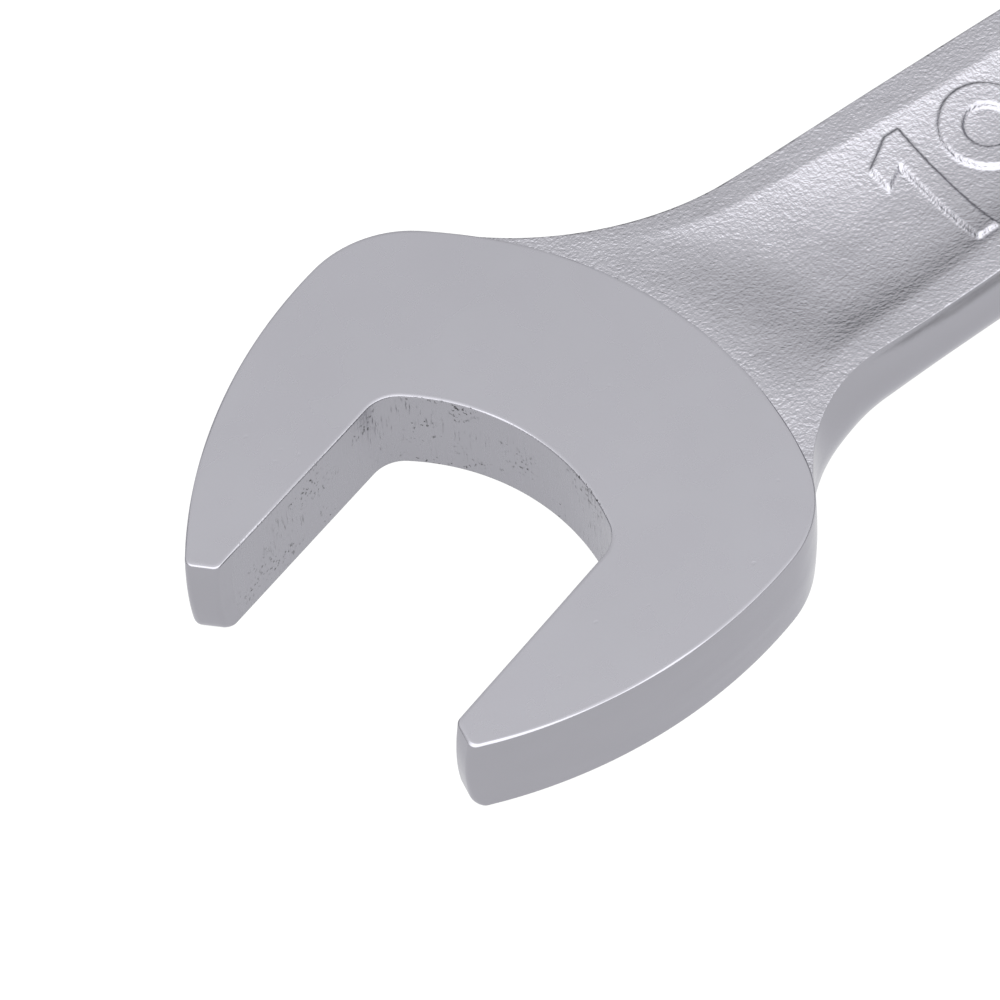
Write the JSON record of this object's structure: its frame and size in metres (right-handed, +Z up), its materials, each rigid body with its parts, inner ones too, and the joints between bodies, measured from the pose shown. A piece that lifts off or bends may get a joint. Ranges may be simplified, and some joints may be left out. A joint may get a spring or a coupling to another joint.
{
  "type": "combination wrench",
  "caption": "Plated drop-forged combination wrench: angled open jaw, dished shank with a raised size number, and an offset twelve-point ring.",
  "frame": {"origin": "middle of the tool's plan, on the plane that the open head lies flat on", "axes": "+X runs along the shank from the open end to the ring, +Y to the left of that, +Z up out of the open head's numbered side"},
  "size_m": [0.2348, 0.039, 0.017],
  "materials": {
    "chrome_plate": "satin"
  },
  "bodies": {
    "root": {"wrench_forging": "chrome_plate"}
  },
  "joints": []
}
